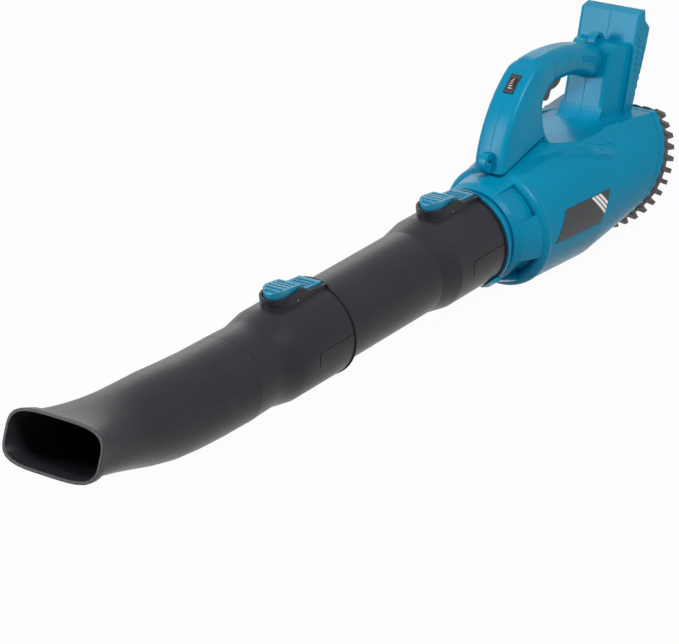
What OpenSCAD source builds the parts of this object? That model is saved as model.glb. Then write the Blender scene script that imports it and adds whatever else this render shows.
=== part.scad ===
// Handheld cordless leaf blower with a two-piece blow tube.
// The duct axis runs along X: the nozzle points to -X, the air intake to +X, and Z is up.
// Sizes along the duct are counted from the joint face between the collar and the tube.

/* [Blow tube] */
// Outer diameter of the sleeves that carry the latches
sleeve_d = 100; // [96:1:104]
// Outer diameter of the plain tube
tube_d = 90; // [84:1:92]
// Wall thickness of the tubes
tube_wall = 2.4; // [1.8:0.2:3]
// Length of a sleeve
sleeve_len = 78; // [76:1:90]
// Length of the cone between a sleeve and the plain tube
cone_len = 28; // [20:1:40]
// Length of a spigot inside its sleeve
spigot_len = 62; // [50:1:70]
// Radial gap between a spigot and its sleeve
spigot_gap = 0.4; // [0.3:0.05:0.6]
// Distance from the rear edge of the tube sleeve to that of the nozzle sleeve
tube_pitch = 256; // [230:1:300]

/* [Nozzle mouth] */
// Length from the rear edge of the nozzle sleeve to the middle of the mouth
nozzle_len = 384; // [360:1:400]
// Rise of the middle of the mouth over the duct axis
mouth_rise = 34.5; // [25:1:45]
// Width of the mouth inside its lip
mouth_w = 115; // [100:1:120]
// Height of the mouth inside its lip, along its leaning face
mouth_h = 52; // [46:1:58]
// Lean of the mouth face from upright, in degrees
mouth_lean = 25; // [15:1:35]
// Thickness that the lip adds round the mouth
lip = 2.4; // [1.4:0.2:3]

/* [Latches] */
// Half width of the latch boss on a sleeve
boss_half_w = 18; // [17:0.5:19]
// Wall of the latch boss
boss_wall = 3.2; // [2.6:0.2:3.6]
// Height of the front pad over the duct axis
pad_z = 66; // [65:0.5:68]
// Diameter of the latch pins
latch_pin_d = 2.4; // [2:0.1:2.6]

/* [Barrel] */
// Outer radius of the barrel at the bead round its front
front_r = 67; // [65:0.5:69]
// Radius of the bead round the front of the barrel
bead_r = 8; // [6:0.5:10]
// Outer radius of the barrel over the foot
mid_r = 76.5; // [75:0.5:79]
// Outer radius of the intake end, in its leaning plane
rear_r = 84.6; // [82:0.5:87]
// Wall thickness of the moulded housings
wall = 2.8; // [2.2:0.2:3.4]
// Height of the duct axis over the foot
axis_h = 74; // [72:0.5:75]
// Length of the flat foot
foot_len = 86; // [60:2:100]
// Width of the flat foot
foot_w = 38; // [30:1:44]

/* [Handle] */
// Half width of the front column of the handle
column_half_w = 19.5; // [18:0.5:21]
// Half width of the hand grip
grip_half_w = 17; // [15.5:0.5:18]
// Edge rounding of the handle
handle_round = 6.5; // [5:0.5:8]
// Edge rounding of the hand grip
grip_round = 11; // [8:0.5:12]

/* [Battery seat] */
// Half width of the battery plate
plate_half_w = 37; // [35:0.5:39]
// Half width of the rear column
stem_half_w = 32; // [30:0.5:34]
// Half width of the channel for the battery
channel_half_w = 27; // [25:0.5:28]
// Length of the battery plate above the barrel deck
plate_len = 112; // [106:1:116]

/* [Fan and motor] */
// Inner radius of the fan duct
duct_r = 54.5; // [53:0.5:55]
// Radial gap between the blades and the fan duct
tip_gap = 1.2; // [1:0.1:2]
// Number of fan blades
blades = 9; // [7:1:11]
// Number of guide vanes
vanes = 7; // [5:1:9]
// Diameter of the motor shaft
shaft_d = 5; // [4:0.5:6]
// Outer radius of the motor can
motor_r = 24; // [22:0.5:25]
// Number of radial ribs in the intake grille
grille_ribs = 40; // [32:2:44]

/* [Hidden] */
$fn = 72;
e = 0.01;

teal = "#0b7fa8";
light_teal = "#2a93b5";
black = "#3a3b3f";
dark = "#332e2d";
steel = "#9a9da1";
brass = "#c2a15a";
label_grey = "#3e3638";

// Radii of the tubes and their fits
sleeve_r = sleeve_d / 2;
bore_r = sleeve_r - tube_wall;
spigot_r = bore_r - spigot_gap;
tube_r = tube_d / 2;
nozzle_x = -tube_pitch;

// Places along the duct
ring_x = 56;
ring_z = -5.8;
collar_x = 47;
duct_x = 61;
mid_x = 140;
rear_x = 243;
rear_z = 10;
rear_tilt = 31;
rim_len = 8;
lip_flange_r = sleeve_r + 2.6;
groove_end_x = 14;
neck_r = sleeve_r + 0.6;
collar_r = spigot_r + 0.4;
key_x = 27;
key_r = collar_r + 3.2;
seam = 0.1;
fit = 0.15;

// Deck of the barrel and the parting plane under the handle
deck_x = 118;
deck_z = 71;
deck_slope = 3.66;
dish_x = 172;
dish_z = 64.3;
dish_half_w = 46;
dish_front_r = 66;
dish_rear_r = 123;
part_x = 38;
part_z = 59;
part_slope = 13;

// Battery plate frame: X points out of its back, Z runs up the plate
plate_lean = 20;
plate_x = 241.7;
plate_z = 60;
stem_depth = 28;
floor_out = 10;

// Handle outline centres: front arc and top arc
front_c = [188.4, 22.5];
front_arc_r = 153.6;
top_arc_r = 233.7;
crown_z = 161.2;
top_c = [138.4, crown_z - top_arc_r];

// Fan and motor places
fan_x = 172;
fan_len = 26;
hub_r = 21;
pod_r = motor_r + fit + 2.2;
can_x = 78;
can_len = 62;
shaft_r = shaft_d / 2;
bearing_r = 8;
bearing_len = 5;

origin_x = (lip_front_x() + plate_back_x()) / 2;

// ---------- Helpers ----------
function bez(a, b, c, d, n = 8) = [for (i = [0:n]) let (t = i / n, s = 1 - t)
    s * s * s * a + 3 * s * s * t * b + 3 * s * t * t * c + t * t * t * d];
function arc(c, r, a0, a1, n = 8) = [for (i = [0:n]) let (a = a0 + (a1 - a0) * i / n)
    c + r * [cos(a), sin(a)]];
function lip_front_x() = nozzle_x - nozzle_len - (mouth_h / 2 + lip) * sin(mouth_lean);
function plate_back_x() = plate_x + (plate_len - 12.4) * sin(plate_lean) + 24.6 * cos(plate_lean);

module place() translate([-origin_x, 0, axis_h]) children();
// Turns a profile of [radius, x] about the duct axis
module turn(angle = 360) rotate([0, 90, 0]) rotate_extrude(angle = angle) children();
// Extrudes a side view, x and z, to both sides of the middle plane
module side(width) rotate([90, 0, 0]) linear_extrude(width, center = true) children();
module disc(x, r, tilt = 0, z = 0, h = 0.4)
    translate([x, 0, z]) rotate([0, 90 + tilt, 0]) cylinder(r = r, h = h);
module lean_frame() translate([plate_x, 0, plate_z]) rotate([0, plate_lean, 0]) children();
module intake_frame() translate([rear_x, 0, rear_z]) rotate([0, 90 + rear_tilt, 0]) children();
// Keeps one side of the middle plane: -1 is the left side, 1 the right
module half(s) intersection() {
    children();
    translate([-100, s < 0 ? -150 - seam / 2 : seam / 2, -150]) cube([500, 150, 400]);
}
module rod(x, z, r, y0, y1) translate([x, y0, z]) rotate([-90, 0, 0]) cylinder(r = r, h = y1 - y0);
module box(x0, x1, y, z0, z1) translate([x0, -y, z0]) cube([x1 - x0, 2 * y, z1 - z0]);

// Coil of round wire along Z
module coil(r, wire, h, turns, steps = 9, sides = 5) {
    n = turns * steps;
    pts = [for (i = [0:n]) for (j = [0:sides - 1]) let (a = 360 * i / steps, b = 360 * j / sides,
        q = r + wire * cos(b)) [q * cos(a), q * sin(a), wire + (h - 2 * wire) * i / n + wire * sin(b)]];
    skin = [for (i = [0:n - 1]) for (j = [0:sides - 1]) let (k = (j + 1) % sides)
        each [[i * sides + j, i * sides + k, (i + 1) * sides + k],
              [i * sides + j, (i + 1) * sides + k, (i + 1) * sides + j]]];
    polyhedron(pts, concat(skin, [[for (j = [sides - 1:-1:0]) j]], [[for (j = [0:sides - 1]) n * sides + j]]));
}

// ---------- Barrel ----------
// Outline of the intake end in its own frame, where -X is up
module intake_outline(inset = 0) {
    intersection() {
        circle(r = rear_r - inset);
        translate([-8, 0]) circle(r = rear_r + 3.2 - inset);
        polygon([[-60.7 + inset, -58.5], [-60.7 + inset, 58.5], [-33 + inset, 79.5 - inset], [-20, 95],
            [95, 95], [95, -95], [-20, -95], [-33 + inset, -79.5 + inset]]);
    }
}
module barrel_skin(inset = 0, over = 0) hull() {
    disc(ring_x + inset, front_r - inset, 0, ring_z);
    disc(mid_x, mid_r - inset);
    intake_frame() translate([0, 0, over - 0.4]) linear_extrude(0.4) intake_outline(inset);
}
// Side view of all that lies above the barrel: the deck and the sloping seat of the handle
module above_barrel(gap = 0) side(400) polygon([
    [part_x - 20, part_z - 20 * tan(part_slope) + gap],
    [deck_x, part_z + (deck_x - part_x) * tan(part_slope) + gap], [deck_x, deck_z + gap],
    [400, deck_z - (400 - deck_x) * tan(deck_slope) + gap], [400, 300], [part_x - 20, 300]]);
// Hollow of the deck between the handle columns, cut down to its flat floor
module deck_dish(grow = 0)
    for (d = [[dish_front_r, deck_x - 20, dish_x + 0.5], [dish_rear_r, dish_x, rear_x]])
        translate([0, 0, dish_z - grow]) linear_extrude(60) intersection() {
            translate([dish_x, d[0] - dish_half_w]) circle(r = d[0] + grow);
            translate([dish_x, dish_half_w - d[0]]) circle(r = d[0] + grow);
            translate([d[1], -80]) square([d[2] - d[1], 160]);
        }
module neck() {
    difference() {
        hull() {
            disc(groove_end_x - 1, neck_r);
            disc(groove_end_x + 8, neck_r + 5, 0, ring_z / 4);
            disc(ring_x - 6, front_r - 4, 0, ring_z);
        }
        for (a = [[26, 38], [110, 40], [-64, 38], [-150, 40]]) rotate([a[0], 0, 0]) turn(a[1])
            polygon([[neck_r + 2.6, 19], [80, 19], [80, ring_x - 3], [neck_r + 2.6, ring_x - 3]]);
    }
    translate([0, 0, ring_z]) turn() translate([front_r - bead_r + 0.6, ring_x - 1]) circle(r = bead_r);
}
// Half width of the barrel's skin at a place of its side view
function skin_y(x, z) = let (t = (x - ring_x) / (mid_x - ring_x), w = (x - mid_x) / (rear_x - mid_x),
    r = x < mid_x ? front_r + (mid_r - front_r) * t : mid_r + (rear_r - mid_r) * w,
    c = x < mid_x ? ring_z * (1 - t) : rear_z * w)
    sqrt(max(r * r - (z - c) * (z - c), 0)) - (x < mid_x ? 0 : 3 * w);
// Arched brow over the label: stations of x, height of its crest, height of its lower edge, how far it stands out
brow = [[52, 54, 45, 1], [66, 56.5, 47.5, 4.2], [84, 59.5, 50.5, 5.2], [102, 61, 52.6, 5.4], [120, 61.2, 53.4, 5.2],
    [137, 58.5, 50.6, 4.8], [155, 52.6, 45, 4.2], [170, 47.6, 41, 3], [184, 45, 40, 0.4]];
function brow_section(b, s) = let (top = b[1] + 9, y = skin_y(b[0], b[1]))
    [[b[0], s * (skin_y(b[0], top) - 1.2), top], [b[0], s * (y + b[3]), b[1]],
     [b[0], s * (skin_y(b[0], b[2]) - 0.6), b[2]], [b[0], s * (y - 5), b[2] + 2]];
module brows() for (s = [-1, 1]) intersection() {
    loft([for (i = [0:len(brow) - 1]) let (b = brow[s < 0 ? i : len(brow) - 1 - i]) brow_section(b, s)]);
    box(ring_x - 3, 400, 200, 0, 200);
}
// Round bar between two points
module bar(p, q, r) let (d = q - p) translate(p) rotate([0, acos(d[2] / norm(d)), atan2(d[1], d[0])])
    cylinder(r = r, h = norm(d), $fn = 24);
function on_skin(x, z, s, out) = [x, s * (skin_y(x, z) + out), z];
module ribs() for (s = [-1, 1]) {
    for (r = [[178, 60, -5, 190, 50.5, -4], [197.5, 61, -6.9, 211, 53.5, -5.6], [217.5, 64, -9.7, 231, 59.5, -7.8]])
        bar(on_skin(r[0], r[1], s, r[2]), on_skin(r[3], r[4], s, r[5]), 1.7);
    bar(on_skin(168, 18, s, -0.6), on_skin(148, -16, s, -0.6), 1.2);
}
module foot() intersection() {
    translate([mid_x - 22, 0, -axis_h]) linear_extrude(20) square([foot_len, foot_w], center = true);
    box(0, 300, 60, -axis_h, -40);
}
module stem() lean_frame() intersection() {
    translate([0, 0, -14]) linear_extrude(110) polygon(concat(
        arc([-stem_depth + 6, stem_half_w - 11], 6, 180, 100, 6), [[0, stem_half_w], [4, stem_half_w]],
        [[4, -stem_half_w], [0, -stem_half_w]], arc([-stem_depth + 6, -stem_half_w + 11], 6, -100, -180, 6)));
    side(100) polygon(concat([[-40, -14], [4, -14], [4, 82]], arc([-stem_depth + 15, 63], 15, 70, 180, 8),
        [[-stem_depth, -14]]));
}
// Ramp from the deck up to the flat front of the rear column
module stem_root() lean_frame() side(2 * channel_half_w) translate([-stem_depth, 0])
    polygon([[1, 7.5], [0, 7.5], [-1.2, 2.2], [-2.6, -2.6], [-5.5, -6.5], [-10.5, -9.6], [-10.5, -14], [1, -14]]);
module plate() lean_frame() difference() {
    side(2 * plate_half_w) polygon([[0, -12], [0, plate_len], [10, plate_len + 6], [14, plate_len - 5.5],
        [24.6, plate_len - 12.4], [23.7, plate_len - 33.5], [16.5, 20], [12, -12]]);
    battery_channel();
    for (s = [-1, 1]) for (i = [0:5]) translate([18, s * (plate_half_w + 1.4), 30 + i * 9])
        cube([4, 4, 4.5], center = true);
}
module battery_channel() {
    translate([floor_out, -channel_half_w, 16]) cube([40, 2 * channel_half_w, 200]);
    translate([floor_out, -channel_half_w - 3, 16]) cube([4, 2 * channel_half_w + 6, 200]);
}
module barrel_solid() {
    difference() {
        union() {
            barrel_skin();
            neck();
            brows();
            ribs();
        }
        above_barrel();
        deck_dish();
        translate([-50, -150, -axis_h - 100]) cube([500, 300, 100]);
        intake_frame() translate([rim_len * tan(rear_tilt), 0, -rim_len]) linear_extrude(1.1) difference() {
            circle(r = rear_r + 30);
            intake_outline(1.6);
        }
    }
    foot();
    stem();
    stem_root();
    plate();
}
// The barrel without its neck and columns, set in from its outside
module barrel_core(inset, over = 0) difference() {
    barrel_skin(inset, over);
    above_barrel(-inset);
    deck_dish(inset);
    translate([-50, -150, -axis_h - 100 + inset]) cube([500, 300, 100]);
}
module barrel_cavity() {
    barrel_core(wall, 2);
    turn() translate([0, groove_end_x - 5]) square([collar_r + fit, 60]);
    lean_frame() difference() {
        translate([-stem_depth + wall, -stem_half_w + 9, -24]) cube([stem_depth - 2 * wall, 2 * stem_half_w - 18, 84]);
        side(100) polygon([[-40, 48], [-stem_depth + 15, 62], [-40, 80]]);
    }
}
// Screw places in side view
barrel_screw_at = [[66, -62], [150, -66.5], [66, 60.5], [103, 63.5]];
grille_screw_r = 78.5;
grille_screw_at = [for (k = [6, 11, 28, 33]) (k + 0.5) * 360 / grille_ribs];
handle_screw_at = [[66, 84], [86, 100], [176, 147], [plate_x - 29.7, 130]];
module grille_screw_axes() for (a = grille_screw_at) rotate([0, 0, a]) translate([grille_screw_r, 0, 0]) children();
module bosses(places, s, r, y1) for (p = places) rod(p[0], p[1], r, s < 0 ? -y1 : 0, s < 0 ? 0 : y1);
module barrel_shell(s) color(teal) place() difference() {
    half(s) union() {
        difference() {
            barrel_solid();
            barrel_cavity();
        }
        lean_frame() {
            for (x = [-17, -13.3]) translate([x, s * 21.75 - 2.75, -8]) cube([1.9, 5.5, 54]);
            translate([-17, s * 21.75 - 2.75, -9]) cube([5.6, 5.5, 2.9]);
        }
        intersection() {
            union() {
                bosses(barrel_screw_at, s, s < 0 ? 4 : 5.2, 70);
                for (x = [duct_x + 6, mid_x - 22, fan_x]) turn() translate([duct_r + 2.6 + fit, x]) square([60, 3]);
                intake_frame() grille_screw_axes() translate([0, 0, -16]) cylinder(r = 4, h = 15.8);
            }
            barrel_core(wall / 2);
        }
    }
    for (p = barrel_screw_at) {
        rod(p[0], p[1], s < 0 ? 1.3 : 1.75, -12, 90);
        if (s > 0) rod(p[0], p[1], 3.4, 8, 90);
    }
    intake_frame() grille_screw_axes() cylinder(r = 1.2, h = 26, center = true);
    eye_slot(rear_eye);
    turn() polygon([[0, groove_end_x - 5], [collar_r + fit, groove_end_x - 5], [collar_r + fit, key_x - fit],
        [key_r + fit, key_x - fit], [key_r + fit, key_x + 3 + fit], [collar_r + fit, key_x + 3 + fit],
        [collar_r + fit, collar_x - 3.4], [duct_r + 2.6 + fit, collar_x + 4.6], [duct_r + 2.6 + fit, fan_x + fan_len],
        [0, fan_x + fan_len]]);
}
module barrel_shell_left() barrel_shell(-1);
module barrel_shell_right() barrel_shell(1);

// ---------- Handle ----------
// Angles on the front arc
function front_pt(a) = front_c + front_arc_r * [cos(a), sin(a)];
function top_pt(x) = [x, top_c[1] + sqrt(top_arc_r * top_arc_r - (x - top_c[0]) * (x - top_c[0]))];
function stem_face(z) = plate_x + (z - plate_z) * tan(plate_lean) - stem_depth / cos(plate_lean);
function column_outline() = concat([[37, 44]], arc(front_c, front_arc_r, 161.2, 120.6, 9),
    [[118, crown_z - 4.8], [146, crown_z - 5.6], [146, 131]], bez([137, 125.5], [126, 123], [121, 116], [121, 106], 4),
    bez([120.5, 96], [120.5, 84], [124, 74], [134, 64], 4), [[134, 44]]);
function grip_outline() = concat([[112, 132], [112, 155]], [for (x = [117:13:234]) top_pt(x)],
    [[stem_face(138) + 4, 138], [stem_face(106) + 4, 106]],
    bez([226, 105.5], [206, 110], [202, 122], [176, 124], 6), [[150, 125.5], [130, 126]]);
module rounded_side(half_w, r) minkowski() {
    side(2 * (half_w - r)) offset(delta = -r) children();
    sphere(r = r, $fn = 16);
}
module handle_solid() {
    difference() {
        rounded_side(column_half_w, handle_round) polygon(column_outline());
        difference() {
            translate([-20, -60, 0]) cube([400, 120, 120]);
            above_barrel(seam);
            deck_dish(-seam);
        }
    }
    difference() {
        rounded_side(grip_half_w, grip_round) polygon(grip_outline());
        lean_frame() translate([-stem_depth - fit, -50, -50]) cube([60, 100, 200]);
    }
    intersection() {
        barrel_skin();
        above_barrel(seam);
        translate([part_x - 2, -60, 40]) cube([deck_x - part_x - 12, 120, 60]);
    }
}
module handle_cavity() {
    intersection() {
        side(2 * (column_half_w - wall)) offset(delta = -wall) polygon(column_outline());
        above_barrel(wall + seam);
    }
    side(2 * (grip_half_w - wall - 1.5)) offset(delta = -wall - 2) polygon(grip_outline());
}
trigger_pivot = [165, 131];
trigger_half_w = 6.5;
module trigger_slot() side(2 * trigger_half_w + 1.4) polygon([[126, 132], [126, 112], [136, 100], [160, 104],
    [182, 116], [176, 131]]);
dial_a = 129;
dial_r = 13;
dial_w = 8.4;
dial_out = 2.5;
function dial_c() = front_c + (front_arc_r + dial_out - dial_r) * [cos(dial_a), sin(dial_a)];
bezel_len = 23;
bezel_w = 12;
module dial_window(grow = 0, depth = 6) translate([-depth + 1, -bezel_w / 2 - grow, -bezel_len / 2 - grow])
    cube([depth, bezel_w + 2 * grow, bezel_len + 2 * grow]);
// Frame on the front arc: X points out of the column
module on_front(a) translate([front_pt(a)[0], 0, front_pt(a)[1]]) rotate([0, -a, 0]) children();
eye_r = 10.5;
eye_hole_r = 4.2;
rear_eye_hole_r = 3.6;
eye_w = 9;
front_eye = [41, 71];
front_eye_hole = [38.2, 71];
rear_eye = [plate_x + 7.5, 138.5];
rear_eye_hole = rear_eye + [-0.6, 4.2];
module handle_shell(s) color(teal) place() difference() {
    half(s) union() {
        difference() {
            handle_solid();
            handle_cavity();
        }
        intersection() {
            bosses(handle_screw_at, s, s < 0 ? 3.4 : 4.6, 17);
            side(40) offset(delta = -1) union() {
                polygon(column_outline());
                polygon(grip_outline());
            }
        }
        box(124, 160, grip_half_w - wall - 1, 152.1, 154.6);
        box(124, 142, column_half_w - wall + 0.5, 152.1, 154.6);
        box(126, 129, column_half_w - wall + 0.5, 139, 141.9);
        box(143.5, 146.5, grip_half_w - wall - 1, 139, 141.9);
    }
    for (p = handle_screw_at) {
        rod(p[0], p[1], s < 0 ? 1.1 : 1.55, -10, 40);
        if (s > 0) rod(p[0], p[1], 3, 6, 40);
    }
    translate([154, 0, 135]) cylinder(r = 3.8, h = 17.6);
    trigger_slot();
    on_front(dial_a) dial_window(fit, 9);
    rod(trigger_pivot[0], trigger_pivot[1], 1.5, -14.35, 14.35);
    eye_slot(front_eye);
    eye_slot(rear_eye);
}
module handle_shell_left() handle_shell(-1);
module handle_shell_right() handle_shell(1);

// ---------- Collar, grille and label ----------
module outlet_collar() color(teal) place() {
    turn() polygon([[spigot_r - tube_wall, -spigot_len], [spigot_r, -spigot_len + 1.5], [spigot_r, 0.6],
        [lip_flange_r, 0.6], [lip_flange_r, 4.4], [collar_r, 5], [collar_r, key_x], [key_r, key_x],
        [key_r, key_x + 3], [collar_r, key_x + 3], [collar_r, collar_x - 3],
        [duct_r + 2.6, collar_x + 5], [duct_r + 2.6, duct_x], [duct_r, duct_x],
        [duct_r, collar_x + 7], [spigot_r - tube_wall, collar_x - 1]]);
    for (s = [-1, 1]) rotate([s * 145, 0, 0])
        side(16) polygon([[4, lip_flange_r - 4], [4, lip_flange_r + 2.4], [-2, lip_flange_r + 3],
            [-12, sleeve_r + 2], [-12, sleeve_r + 0.6], [0.7, sleeve_r + 0.6]]);
}
rib_h = 20;
base_h = 9;
module intake_grille() color(dark) place() intake_frame() difference() {
    base = base_h - fit;
    translate([0, 0, fit]) union() {
        linear_extrude(base) difference() {
            intake_outline(0.6);
            intake_outline(9);
        }
        for (r = [30, 56]) linear_extrude(base) difference() {
            circle(r = r + 2.5);
            circle(r = r - 2.5);
        }
        intersection() {
            linear_extrude(rib_h) intake_outline(-1);
            for (i = [0:grille_ribs - 1]) rotate([0, 0, 360 * i / grille_ribs])
                translate([27.6, -2.5, 0.2]) cube([62, 5, rib_h]);
        }
        cylinder(r = 28, h = base);
    }
    grille_screw_axes() cylinder(r = 1.5, h = 40, center = true);
}
label_x = 101;
label_z = 2;
module label_plate() color(label_grey) place() intersection() {
    difference() {
        barrel_skin(-0.5);
        barrel_skin(0);
    }
    translate([label_x, -50, label_z]) rotate([90, 0, 0]) linear_extrude(60)
        polygon([[-17, 13], [54, 14], [44, -7], [36, -20], [-36, -18.6]]);
}

// ---------- Tubes ----------
// Sleeve with its latch boss, rear edge at x = 0
boss_len = 74;
latch_back = 46;
latch_pivot_z = sleeve_r + 0.4;
module boss_plan(r) {
    translate([-boss_len + boss_half_w, 0]) circle(r = r);
    translate([-boss_len + boss_half_w, -r]) square([boss_len - boss_half_w - 2, 2 * r]);
}
module boss_solid() {
    intersection() {
        translate([0, 0, 30]) linear_extrude(60) boss_plan(boss_half_w);
        side(60) polygon([[-boss_len - 3, 40], [-boss_len - 3, 57], [-59, 58.8], [-38, 61.6], [-30, 55], [-2, 51.6], [-2, 40]]);
    }
    intersection() {
        turn() translate([sleeve_r - 1, -2.6]) square([5, 2.6]);
        translate([-5, -20, 30]) cube([10, 40, 40]);
    }
}
module boss_cut() {
    inner = boss_half_w - boss_wall;
    difference() {
        translate([0, 0, 40]) linear_extrude(60) boss_plan(inner);
        turn() translate([0, -100]) square([sleeve_r, 110]);
    }
    box(-52, -6, 11, 40, 60);
    rod(-latch_back, latch_pivot_z, latch_pin_d / 2, -40, 40);
}
module sleeve() {
    difference() {
        union() {
            turn() polygon([[tube_r - tube_wall, -sleeve_len - cone_len], [tube_r, -sleeve_len - cone_len],
                [sleeve_r, -sleeve_len], [sleeve_r, 0], [bore_r, 0], [bore_r, -spigot_len - 4],
                [tube_r - tube_wall, -sleeve_len - cone_len + 6]]);
            difference() {
                boss_solid();
                turn() polygon([[0, -120], [tube_r - 1, -120], [tube_r - 1, -sleeve_len - cone_len],
                    [sleeve_r - 1, -sleeve_len], [sleeve_r - 1, 10], [0, 10]]);
            }
        }
        boss_cut();
        for (s = [-1, 1]) rotate([s * 84, 0, 0]) translate([-57, -0.6, sleeve_r - 0.8]) cube([58, 1.2, 4]);
        for (s = [-1, 1]) intersection() {
            turn() translate([sleeve_r - 0.8, -58.2]) square([4, 1.2]);
            translate([-57, s * 50, -3]) cube([10, 60, 18], center = true);
        }
    }
}
module extension_tube() color(black) place() {
    sleeve();
    turn() polygon([[tube_r - tube_wall, -sleeve_len - cone_len], [tube_r, -sleeve_len - cone_len],
        [tube_r, -tube_pitch - 6], [spigot_r, -tube_pitch - 8], [spigot_r, -tube_pitch - spigot_len + 1.5],
        [spigot_r - 1.2, -tube_pitch - spigot_len], [tube_r - tube_wall, -tube_pitch - spigot_len]]);
}
// Nozzle: the round tube bends up and flattens into a wide mouth
bend_x = -400;
neck_in = 1.1;
// The height flattens first, then the sides flare
function ease(t) = let (u = min(max(t, 0), 1)) u * u * (3 - 2 * u);
function nozzle_ring(t, grow, n = 44) =
    let (x = bend_x + (nozzle_x - nozzle_len - bend_x) * t, z = mouth_rise * t * t,
        flat = ease((t - 0.35) / 0.65), flare = pow(max(t - 0.55, 0) / 0.45, 2), lean = mouth_lean * t * abs(t),
        q = 2 + 1.85 * flare, r0 = tube_r + neck_in,
        a = r0 + (mouth_w / 2 - r0) * flare + grow, b = r0 + (mouth_h / 2 - r0) * flat + grow)
    [for (i = [0:n - 1]) let (w = -360 * i / n, c = cos(w), s = sin(w),
        m = pow(pow(abs(c), q) + pow(abs(s), q), -1 / q), y = a * m * c, u = b * m * s)
        [x + u * sin(lean), y, z + u * cos(lean)]];
module loft(rings) {
    n = len(rings[0]);
    m = len(rings);
    polyhedron([for (ring = rings) each ring], concat(
        [for (i = [0:m - 2]) for (j = [0:n - 1]) let (k = (j + 1) % n) each
            [[i * n + j, (i + 1) * n + k, i * n + k], [i * n + j, (i + 1) * n + j, (i + 1) * n + k]]],
        [[for (j = [0:n - 1]) j]], [[for (j = [n - 1:-1:0]) (m - 1) * n + j]]));
}
module nozzle() color(black) place() {
    translate([nozzle_x, 0, 0]) sleeve();
    turn() polygon([[tube_r - tube_wall, nozzle_x - sleeve_len - cone_len],
        [tube_r, nozzle_x - sleeve_len - cone_len], [tube_r + neck_in, bend_x], [tube_r + neck_in - tube_wall, bend_x]]);
    difference() {
        loft([for (t = [-0.01, 0.15, 0.3, 0.42, 0.54, 0.64, 0.72, 0.8, 0.86, 0.92, 0.96, 0.965, 1])
            nozzle_ring(t, t > 0.96 ? lip : -0.1)]);
        loft([for (t = [-0.02, 0.15, 0.3, 0.42, 0.54, 0.64, 0.72, 0.8, 0.86, 0.92, 0.96, 1, 1.02])
            nozzle_ring(t, -tube_wall)]);
    }
}

// ---------- Latches ----------
latch_half_w = boss_half_w - boss_wall - 0.8;
function latch_outline() = concat([[-70, 54.5]], arc([-65, pad_z - 6], 5, 180, 100, 4),
    [[-55, pad_z - 0.4], [-36, pad_z - 3], [-28, 56], [-4.5, 54.6], [-4.5, 51.5], [-8, 51.2],
    [-9, 48.2], [-15, 48.2], [-16, 51.2], [-44, 51.2], [-50, 54.5]]);
module latch_body() {
    difference() {
        union() {
            intersection() {
                side(60) polygon(latch_outline());
                translate([0, 0, 40]) linear_extrude(60) union() {
                    translate([-69.5 + latch_half_w, 0]) circle(r = latch_half_w);
                    translate([-69.5 + latch_half_w, -latch_half_w]) square([90, 2 * latch_half_w]);
                }
                union() {
                    box(-90, 0, latch_half_w, 51.8, 90);
                    box(-90, 0, 10.4, 40, 90);
                }
            }
            rod(-latch_back, latch_pivot_z, 2.3, -10.4, 10.4);
            for (i = [0:4]) rod(-63 + i * 6, pad_z - 1.2 - i * 0.45, 0.9, -latch_half_w + 3, latch_half_w - 3);
            for (i = [0:2]) rod(-21 + i * 6, 55.3 - i * 0.3, 0.9, -latch_half_w + 2, latch_half_w - 2);
        }
        rod(-latch_back, latch_pivot_z, latch_pin_d / 2 + 0.05, -30, 30);
        translate([-59, 0, 50]) cylinder(r = 4.4, h = 10.5);
    }
}
module latch_pin() rod(-latch_back, latch_pivot_z, latch_pin_d / 2, -boss_half_w + 0.6, boss_half_w - 0.6);
module latch_spring() translate([-59, 0, sleeve_r + 0.1]) coil(3.2, 0.45, 60.4 - sleeve_r - 0.2, 4);
module tube_latch() color(light_teal) place() latch_body();
module tube_latch_pin() color(steel) place() latch_pin();
module tube_latch_spring() color(steel) place() latch_spring();
module nozzle_latch() color(light_teal) place() translate([nozzle_x, 0, 0]) latch_body();
module nozzle_latch_pin() color(steel) place() translate([nozzle_x, 0, 0]) latch_pin();
module nozzle_latch_spring() color(steel) place() translate([nozzle_x, 0, 0]) latch_spring();

// ---------- Controls ----------
module trigger() color(black) place() difference() {
    side(2 * trigger_half_w) polygon(concat([[136, 135], [166, 135.5], [170, 132]],
        bez([171, 122], [168, 117.5], [162, 116.2], [156, 116], 4), bez([152.5, 116], [149.5, 113.5], [149.5, 108], [144.5, 107], 4),
        [[140, 107.6], [134.5, 110.5], [132, 117]]));
    rod(trigger_pivot[0], trigger_pivot[1], 1.55, -20, 20);
}
module trigger_pin() color(steel) place() rod(trigger_pivot[0], trigger_pivot[1], 1.5, -14.2, 14.2);
module trigger_spring() color(steel) place() translate([154, 0, 135.5]) coil(3, 0.45, 17, 6);
module trigger_switch() color(black) place() {
    box(126, 147, 5, 142, 152);
    box(138, 141, 2.5, 139.4, 142);
    for (i = [0:2]) box(147, 149.6, 1.4, 143.6 + i * 3, 144.2 + i * 3);
}
module dial_bezel() color(black) place() difference() {
    on_front(dial_a) dial_window(0, 4);
    rod(dial_c()[0], dial_c()[1], dial_r + 0.6, -dial_w / 2 - 0.4, dial_w / 2 + 0.4);
}
module speed_dial() color(dark) place() difference() {
    union() {
        rod(dial_c()[0], dial_c()[1], dial_r - 0.5, -dial_w / 2, dial_w / 2);
        for (i = [0:29]) translate([dial_c()[0], 0, dial_c()[1]]) rotate([0, i * 12, 0])
            translate([dial_r - 1, -dial_w / 2, -0.6]) cube([1, dial_w, 1.2]);
    }
    rod(dial_c()[0], dial_c()[1], 2.05, -20, 20);
}
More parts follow.
